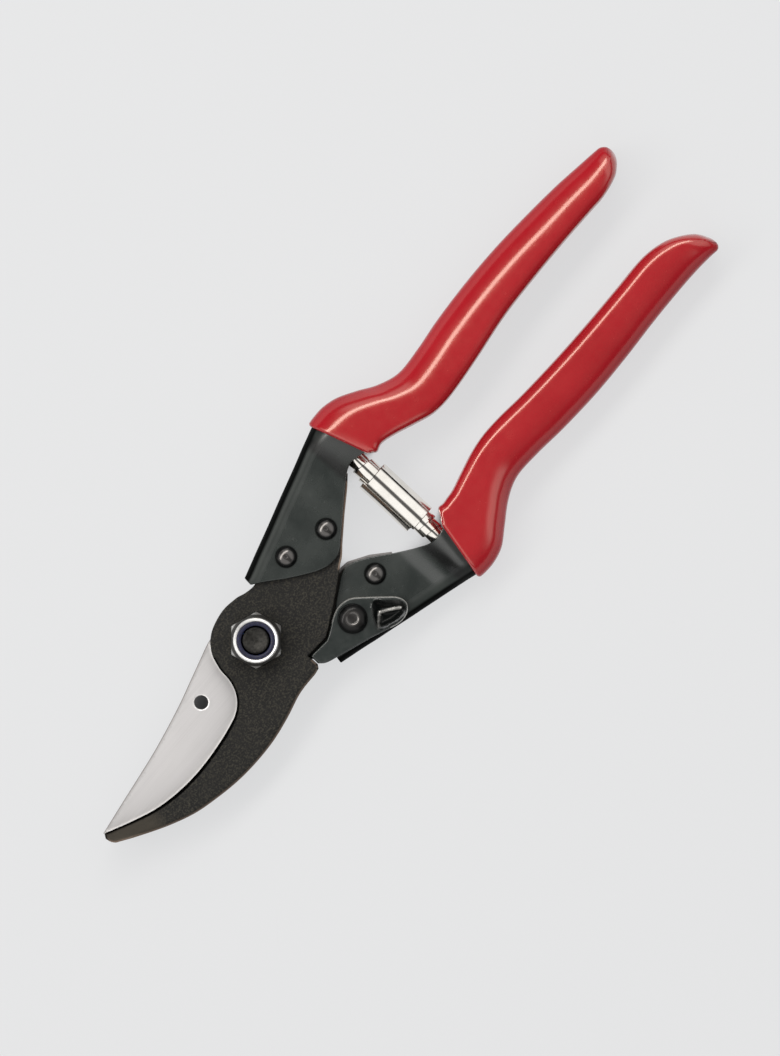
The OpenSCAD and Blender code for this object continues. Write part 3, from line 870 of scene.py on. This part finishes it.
def make_blade():
    """The cutting blade: flat and satin towards the hook, bevelled to its edge underneath."""
    z = heights("cutting_blade")
    loops = [fine_loop(loop, EDGE_STEP) for loop in flat_loops("cutting_blade", z[1])]
    rim = loops[0]
    width = np.full(len(np.concatenate(loops)), 0.22)
    x, y = rim[:, 0], rim[:, 1]
    near_pivot = (x > BLADE_FROM) & (y > 9.499 - 0.26 * (x - BLADE_FROM))
    near_tip = (x > 45) & (y > 0.11 * (x - 46) + 0.9)
    cutting = rim[near_pivot | near_tip]

    def top(points, far, where):
        return round_drop(far, 0.22, 0.16) + 0.02 * np.clip(far, 0, 1)

    def under(points, far, where):
        gap = np.sqrt(((points[:, None, :] - cutting[None]) ** 2).sum(2)).min(1)
        taper = np.clip((points[:, 0] - 12) / 6, 0, 1)
        bevel = np.clip(1 - gap / BEVEL_W, 0, 1) * (z[1] - z[0] - CUTTING_T) * taper
        return np.maximum(bevel, round_drop(far, 0.22, 0.2))

    lines = [
        (rim + inward_of(rim) * reach)[x > BLADE_FROM][::2]
        for reach in (0.8, 1.8, 3.0, 4.6, 6.3, 6.7)
    ]
    hook = fine_loop(flat_loops("hook_blade", heights("hook_blade")[0])[0], EDGE_STEP)
    lines += [
        (hook - inward_of(hook) * reach)[hook[:, 0] > 8] for reach in (0.05, 0.3, 0.5, 0.75)
    ]
    lines += [HOLE_AT + np.array(arc((0, 0), r, 0, 350, 35)) for r in (2.15, 2.4, 2.8)]

    # Painted highlight beside the hook and round the hole, painted shade on the rounded edges.
    def paint(points, far, where):
        from_hook, _ = nearest(points, [hook])
        beside = ~inside(points, [hook]) & (points[:, 0] > 9)
        in_hole = np.linalg.norm(points - HOLE_AT, axis=1) < 4
        rim = np.where(in_hole, np.clip(1.25 - far / 0.25, 0, 1), 0)
        return {
            "wear_and_highlight": np.where(points[:, 0] < -27, np.clip(1.3 - far / 0.35, 0, 1), 0),
            "painted_highlight": np.where(beside, np.clip(1.4 - from_hook / 0.4, 0, 1), 0) + rim,
            "painted_edge_shade": np.where(in_hole, 0, np.clip(1.5 - far / 0.22, 0, 1)),
        }

    piece = plate("cutting_blade.ground", loops, z, BLADE, top, under, paint, width, 1.1, lines)
    stand_for(piece, "cutting_blade")


make_hook()
make_blade()

# ---- Handles ----

HOOK_SHELL_Z = (heights("hook_blade")[0] - SHEET_T, heights("hook_blade")[1] + SHEET_T)
BLADE_SHELL_Z = (heights("cutting_blade")[0] - SHEET_T, heights("cutting_blade")[1] + SHEET_T)

pressed_shell("shell_hook_side", HOOK_SIDE_ROWS, HOOK_SHELL_Z, HOOK_SIDE_RISE, COAT)
pressed_shell("shell_blade_side", BLADE_SIDE_ROWS, BLADE_SHELL_Z, BLADE_SIDE_RISE, COAT)
dipped_grip("grip_hook_side", HOOK_SIDE_ROWS, HOOK_SHELL_Z, HOOK_SIDE_RISE, PVC, 0.7)
dipped_grip("grip_blade_side", BLADE_SIDE_ROWS, BLADE_SHELL_Z, BLADE_SIDE_RISE, PVC, 1.0)

# ---- Rivets ----


def make_rivet(node, face_z, shank_r, head_r, dome_r, dimple_r, rubbed_and_highlight):
    """A shank with a low head underneath, and on top a dome with a small dimple on steep shoulders.
    The last argument lists (radius, how bright the top is there): wear with a painted highlight."""
    z = heights(node)
    high, low = z[1] - face_z[1], face_z[0] - z[0]
    slope = 36  # degrees, at the dome's rim
    profile = [(0.02, z[0]), (head_r * 0.7, z[0]), (head_r * 0.86, z[0] + low * 0.12),
               (head_r * 0.95, z[0] + low * 0.4), (head_r, z[0] + low), (shank_r, z[0] + low),
               (shank_r, face_z[1]), (head_r, face_z[1])]
    below = len(profile)
    ball_r = (dome_r - dimple_r) / math.sin(math.radians(slope))
    sag = ball_r * (1 - math.cos(math.radians(slope)))
    for s in (0.25, 0.5, 0.7, 0.85, 0.95):
        shoulder = dome_r + (head_r - dome_r) * math.sqrt(1 - s * s)
        profile.append((shoulder, face_z[1] + (high - sag) * s))
    for a in np.linspace(slope, 2, 12):
        r = dimple_r + ball_r * math.sin(math.radians(a))
        profile.append((r, z[1] - ball_r * (1 - math.cos(math.radians(a)))))
    for s in (0.9, 0.75, 0.55, 0.3, 0.1, 0.01):
        profile.append((dimple_r * s, z[1] - dimple_r * 0.2 * math.sqrt(1 - s * s)))
    marks = {"rubbed_and_highlight": [
        np.interp(r, *zip(*rubbed_and_highlight)) * (k >= below) for k, (r, _) in enumerate(profile)
    ]}
    piece = lathe(node + ".rivet", middle(node), profile, RIVET, sharp=60, marks=marks)
    stand_for(piece, node)


# Bright tops of the rivets: wear with a painted highlight, a ring of it on the catch rivet.
DOME = [(0.25, 0.3), (0.6, 0.8), (1.5, 1.0), (1.9, 0.5), (2.1, 0.0)]
RINGED = [
    (1.2, 0.25), (1.4, 0.6), (1.65, 1.0), (1.85, 0.7), (2.05, 0.12), (2.9, 0.06), (3.2, 0.0),
]
for name, shell_z in zip(SMALL_RIVETS, (HOOK_SHELL_Z, HOOK_SHELL_Z, BLADE_SHELL_Z)):
    make_rivet(name, shell_z, 1.79, 2.7, 2.1, 0.4, DOME)
catch_face = (BLADE_SHELL_Z[0], heights("thumb_catch")[0] + CATCH_T + 0.05)
make_rivet("catch_rivet", catch_face, 2.6, 3.8, 3.3, 1.6, RINGED)

# ---- Pivot ----

NUT_AF = 13.0
BOLT_R = 4.0
NUT_TURN = 41
CORNER_R = 7.4  # where the hexagons' corners are turned off
ROUND = 20.0  # a size that leaves every ring round


def hexed(rows, turn=0, af=ROUND, corner_r=ROUND, segments=180):
    """Rings round the pivot whose points lie on a hexagon or, where that is smaller, on a
    circle: rows are (z, radius), and af is the hexagon's width across its flats."""
    angles = np.arange(segments) * 2 * math.pi / segments
    off = (np.degrees(angles) - turn + 30) % 60 - 30
    flat = np.minimum(af / 2 / np.cos(np.radians(30 - np.abs(off))), corner_r)
    return [level_ring(np.minimum(flat, r), z, segments=segments) for z, r in rows]


def make_bolt():
    """Hexagon head, shank and chamfered end, with a slightly dished end face."""
    head_z = heights("bolt_washer")[0]
    top = heights("pivot_bolt")[1]
    head = [(0.0, 0.05), (0.0, 5.4), (0.08, 6.15), (0.25, 6.6), (0.75, 7.4),
            (head_z - 0.1, 7.4), (head_z, 7.2)]
    shank = [(head_z, BOLT_R), (top - 2.1, BOLT_R), (top - 1.4, 3.58), (top - 0.25, 3.55),
             (top - 0.06, 3.42), (top, 3.2), (top - 0.04, 2.8), (top - 0.24, 1.5),
             (top - 0.4, 0.6), (top - 0.42, 0.05)]
    rings = hexed(head, 0, NUT_AF, CORNER_R) + hexed(shank)
    stand_for(tube("pivot_bolt.turned", rings, BOLT), "pivot_bolt")


def make_nut():
    """The lock nut: chamfered hexagon, rolled collar, and the recess for its nylon ring."""
    z0, z1 = heights("pivot_nut")
    collar = z1 - 2.2
    recess = heights("nut_insert")
    bore_r = BOLT_R + 0.02
    hexagon = [(z0, bore_r), (z0, 6.2), (z0 + 0.12, 6.5), (z0 + 0.55, 7.4),
               (collar - 2.5, 7.45), (collar - 1.7, 7.1), (collar - 1.0, 6.72),
               (collar - 0.3, 6.3), (collar, 6.1)]
    turned = [(collar + 0.06, 6.02), (z1 - 0.9, 5.97), (z1 - 0.45, 5.92), (z1 - 0.16, 5.8),
              (z1, 5.55), (z1 - 0.02, 5.3), (z1 - 0.12, 5.12), (recess[1] - 0.1, 5.0),
              (recess[0], 5.0), (recess[0], bore_r), (z0, bore_r)]
    rings = hexed(hexagon, NUT_TURN, NUT_AF, CORNER_R + 0.02) + hexed(turned)
    points = np.concatenate(rings)
    reach = np.linalg.norm(points[:, :2], axis=1)
    # Painted highlight on the collar and the corner tips; the rest gets painted shade.
    painted_highlight = np.where(points[:, 2] > collar + 0.5, 1.0, np.clip((reach - 6.75) / 0.3, 0, 1))
    faces = skin(len(rings[0]), len(rings))
    piece = mesh_object("pivot_nut.hexagon", points, faces, NUT, marks={"painted_highlight": painted_highlight})
    stand_for(piece, "pivot_nut")


def make_insert():
    """The nylon ring, swollen a little where the bolt's end has pressed through it."""
    z0, z1 = heights("nut_insert")
    profile = [(BOLT_R + 0.05, z0), (4.97, z0), (4.97, z1 - 0.15), (4.85, z1 - 0.04), (4.5, z1),
               (4.25, z1 - 0.02), (4.0, z1 - 0.1), (3.88, z1 - 0.25), (3.85, z1 - 0.5),
               (3.85, z1 - 1.1), (BOLT_R + 0.05, z0)]
    stand_for(lathe("nut_insert.ring", (0, 0), profile, NYLON), "nut_insert")


def make_washer(node, hole_r, at):
    z0, z1 = heights(node)
    low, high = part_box(node)
    r = (high.x - low.x) / 2 / MM
    e = min(0.12, (z1 - z0) / 3)
    profile = [(hole_r, z0 + e), (hole_r + e, z0), (r - e, z0), (r, z0 + e), (r, z1 - e),
               (r - e, z1), (hole_r + e, z1), (hole_r, z1 - e), (hole_r, z0 + e)]
    stand_for(lathe(node + ".ring", at, profile, ZINC), node)


make_bolt()
make_nut()
make_insert()
make_washer("bolt_washer", BOLT_R + 0.05, (0, 0))
make_washer("catch_washer", 2.65, middle("catch_washer"))

# ---- Thumb catch ----

# The foot and the top of the raised thumb tab
TAB_FOOT = np.array([
    (-32.6, 24), (-33, 22.5), (-32.2, 20.9), (-30, 18.3), (-28, 16.4), (-25.8, 17.7),
    (-24.2, 19.6), (-23.2, 22.2), (-23.8, 23.1), (-26.5, 24.2), (-29, 25), (-31.5, 24.9),
])
TAB_TOP = np.array([
    (-31.2, 24.1), (-31.5, 22.9), (-29.6, 21.4), (-27, 19.6), (-25.6, 20), (-23.6, 22.1),
    (-25.4, 23.2), (-28.6, 24.3),
])
# The line along the tab's crest that thumbs rub bright, also a painted highlight, and how bright
# each stretch of it is
RUBBED_HIGHLIGHT_LINE = np.array([
    (-31.3, 22.9), (-29, 21.1), (-26.9, 19.7), (-26.1, 20.1), (-24.9, 21.0), (-23.4, 22.2),
])
RUBBED_HIGHLIGHT_STRENGTH = [1.0, 0.85, 0.6, 0.2, 0.12]


def make_catch():
    """The pressed catch plate and the steep, dished thumb tab drawn up from its lobe."""
    z0, z1 = heights("thumb_catch")
    tab_h = z1 - z0 - CATCH_T
    loops = [fine_loop(loop, 0.35) for loop in flat_loops("thumb_catch", z0)]
    foot = fine_loop(TAB_FOOT, 0.4, corner=75)
    crest = fine_loop(TAB_TOP, 0.4, corner=75)
    width = np.full(len(np.concatenate(loops)), 0.45)

    def top(points, far, where):
        to_foot, _ = nearest(points, [foot])
        to_crest, _ = nearest(points, [crest])
        on_tab, on_top = inside(points, [foot]), inside(points, [crest])
        climb = np.clip(to_foot / np.maximum(to_foot + to_crest, 1e-6), 0, 1)
        climb = 1 - (1 - climb) ** 1.6
        rise = np.where(on_tab, tab_h * climb, 0.0)
        dish = 0.1 * round_drop(to_crest, 0.4, 1.0) + 1.15 * (1 - np.exp(-(to_crest / 0.75) ** 2))
        rise = np.where(on_top, tab_h - dish, rise)
        return tab_h - rise + round_drop(far, 0.45, 0.42) * np.where(on_tab, 0.25, 1)

    def under(points, far, where):
        return round_drop(far, 0.2, 0.18)

    low, high = foot.min(0), foot.max(0)
    fill = np.array([
        (x, y) for y in np.arange(low[1], high[1], 0.3) for x in np.arange(low[0], high[0], 0.3)
    ])
    extra = [foot, crest, fill[inside(fill, [foot])]]
    samples = np.concatenate([
        np.linspace(a, b, 12) for a, b in zip(RUBBED_HIGHLIGHT_LINE[:-1], RUBBED_HIGHLIGHT_LINE[1:])
    ])
    strength = np.repeat(RUBBED_HIGHLIGHT_STRENGTH, 12)

    # The crest line and lower-left rim carry wear with a painted highlight; the tab's slopes carry
    # painted shade.
    def paint(points, far, where):
        gap = np.sqrt(((points[:, None, :] - samples[None]) ** 2).sum(2))
        near_line = np.clip(1.4 - gap.min(1) / 0.3, 0, 1) * strength[gap.argmin(1)]
        lower_left = points[:, 0] + 0.75 * points[:, 1] < -7.2
        rim = np.where(lower_left, np.clip(1.2 - far / 0.22, 0, 1) * 0.8, 0)
        to_foot, _ = nearest(points, [foot])
        painted_tab_shade = np.where(inside(points, [foot]), np.clip(to_foot / 0.25, 0, 1), 0)
        return {"wear_and_highlight": np.maximum(near_line, rim), "painted_tab_shade": painted_tab_shade}

    piece = plate("thumb_catch.pressing", loops, (z0, z1), CATCH_COAT, top, under, paint, width,
                  0.8, extra, 50)
    stand_for(piece, "thumb_catch")


make_catch()

# ---- Spring ----

SPRING_FROM = np.array([-53.3, -22.4])
SPRING_TO = np.array([-51.6, 28.8])
SPRING_Z = sum(heights("volute_spring")) / 2
SPRING_LEN = float(np.linalg.norm(SPRING_TO - SPRING_FROM))
SPRING_AXIS = (SPRING_TO - SPRING_FROM) / SPRING_LEN
SPRING_SIDE = np.array([SPRING_AXIS[1], -SPRING_AXIS[0]])


def on_spring(angle, r, along):
    """The point at that angle, radius and distance from the spring's middle."""
    centre = (SPRING_FROM + SPRING_TO) / 2 + SPRING_AXIS * along
    plan = centre + SPRING_SIDE * r * math.cos(angle)
    return (plan[0], plan[1], SPRING_Z + r * math.sin(angle))


def strip(samples, thickness):
    """Points and faces of a wound strip: samples are (angle, outer radius, low, high)."""
    e = 0.12
    points = []
    for angle, r, low, high in samples:
        spans = np.linspace(low + e, high - e, 7)
        loop = [(r - e, low)] + [(r, a) for a in spans] + [(r - e, high)]
        loop += [(r - thickness + e, high)] + [(r - thickness, a) for a in spans[::-1]]
        loop += [(r - thickness + e, low)]
        points += [on_spring(angle, radius, a) for radius, a in loop]
    return points, skin(len(loop), len(samples), capped=True)


def make_spring():
    """Two strips wound inwards and outwards under one wide middle turn."""
    t = 0.55
    seam = math.radians(48)
    turns = np.linspace(0, 1.02, 85)
    parts = [strip([
        (seam - 2 * math.pi * n, 4.87 - 0.62 * n, -9.0 + 1.0 * n, 8.0 + 1.0 * n) for n in turns
    ], t)]
    edge_at = [(0, 10.2), (0.5, 11.2), (1, 12.6), (1.5, 14.0), (2, 16.2), (2.4, 25.8), (3, 25.8)]
    for way in (1, -1):
        samples = []
        for n in np.linspace(0, 3, 3 * 48 + 1):
            r = max(3.6 - 0.62 * n, 2.3)
            edge = float(np.interp(n, *zip(*edge_at)))
            angle = way * (seam + 2 * math.pi * n) + (math.pi / 2 if way < 0 else 0)
            low, high = (0.2 + 4.2 * n, edge) if way > 0 else (-edge, -0.2 - 4.2 * n)
            samples.append((angle, r, low, high))
        parts.append(strip(samples, t))
    points, faces = [], []
    for more, quads in parts:
        faces += [tuple(i + len(points) for i in q) for q in quads]
        points += more
    piece = mesh_object("volute_spring.strip", points, faces, NICKEL)
    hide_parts("volute_spring")
    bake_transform(piece)


def make_peg(node, way):
    """A peg with a chamfered nose, standing on its foot inside the handle's back wall."""
    seat = SPRING_LEN / 2 * way
    profile = [(0.02, -6), (1.1, -6), (1.6, -5.4), (1.6, 0), (2.4, 0), (2.45, 0.1), (2.45, 0.9),
               (0.02, 0.95)]
    turns = np.arange(48) * 2 * math.pi / 48
    rings = [np.array([on_spring(a, r, seat + s * way) for a in turns]) for r, s in profile]
    stand_for(tube(node + ".peg", rings, ZINC), node)


make_spring()
make_peg("spring_peg_hook_side", -1)
make_peg("spring_peg_blade_side", 1)

# ---- Floor, lights and camera ----


def make_floor():
    """A plain pale floor that glows like a light table where nothing stands close over it, with a
    painted shadow under the hole in the blade."""
    bpy.ops.mesh.primitive_plane_add(size=6, location=(0, 0, 0))
    floor = bpy.context.object
    floor.name = "floor"
    p = Paint("floor_paper", Roughness=0.9, Specular_IOR_Level=0.1)
    p.finish(p.mix(p.noise(8, 3), (0.118, 0.12, 0.122), (0.122, 0.124, 0.126)))
    covered = p.add("AmbientOcclusion")
    covered.samples = 32
    covered.inputs["Distance"].default_value = 0.014
    # Painted shadow: the glow is held off in a small spot under the blade's hole.
    hole_shadow = p.spread(p.near(HOLE_AT + (0.2, 0)), 1.9, 2.3, 0.3, 0.0)
    open_share = p.math("SUBTRACT", covered.outputs["AO"], hole_shadow)
    glow = p.spread(open_share, 0.14, 0.36, 0.0, 0.64, smooth=True)
    p.join(glow, p.shader.inputs["Emission Strength"])
    p.shader.inputs["Emission Color"].default_value = (0.985, 0.99, 1.0, 1)
    floor.data.materials.append(p.material)


def make_light():
    """A long, slightly warm strip over the -Y side, about 30 degrees off the vertical."""
    data = bpy.data.lights.new("strip", "AREA")
    data.shape = "RECTANGLE"
    data.size, data.size_y = 2.4, 0.31
    data.energy = 15.5
    data.color = (1, 0.965, 0.92)
    light = put("strip", data)
    light.location = (-0.05, -0.62, 1.05)
    light.rotation_mode = "QUATERNION"
    aim = Vector((-0.05, 0, 0.01)) - light.location
    light.rotation_quaternion = aim.to_track_quat("-Z", "Y")


def make_world():
    """A dim room with two broad white reflectors, towards +X and -X, that stop short of the
    zenith and of the horizon."""
    world = bpy.data.worlds.new("reflectors")
    world.use_nodes = True
    sky = Nodes(world.node_tree)
    place = sky.add("TexCoord").outputs["Generated"]
    sideways = sky.spread(sky.math("ABSOLUTE", sky.split(place, "X")), 0.14, 0.3, smooth=True)
    raised = sky.spread(sky.split(place, "Z"), 0.2, 0.42, smooth=True)
    ceiling = sky.spread(sky.split(place, "Z"), 0.25, 0.6, 0.015, 0.105, smooth=True)
    level = sky.plus(sky.times(sideways, raised), ceiling)
    background = world.node_tree.nodes["Background"]
    sky.join(level, background.inputs["Strength"])
    background.inputs["Color"].default_value = (1.0, 0.99, 0.98, 1)
    bpy.context.scene.world = world


def make_camera():
    """Straight above, the shears' long axis running from lower left to upper right."""
    data = bpy.data.cameras.new("camera")
    data.lens = 250
    data.sensor_width = 36
    data.clip_end = 20
    camera = put("camera", data)
    camera.location = (-0.0453, 0.0072, 1.9405)
    camera.rotation_euler = (0, 0, math.radians(131))
    bpy.context.scene.camera = camera


make_floor()
make_world()
make_light()
make_camera()
bpy.context.scene.view_settings.view_transform = "Standard"
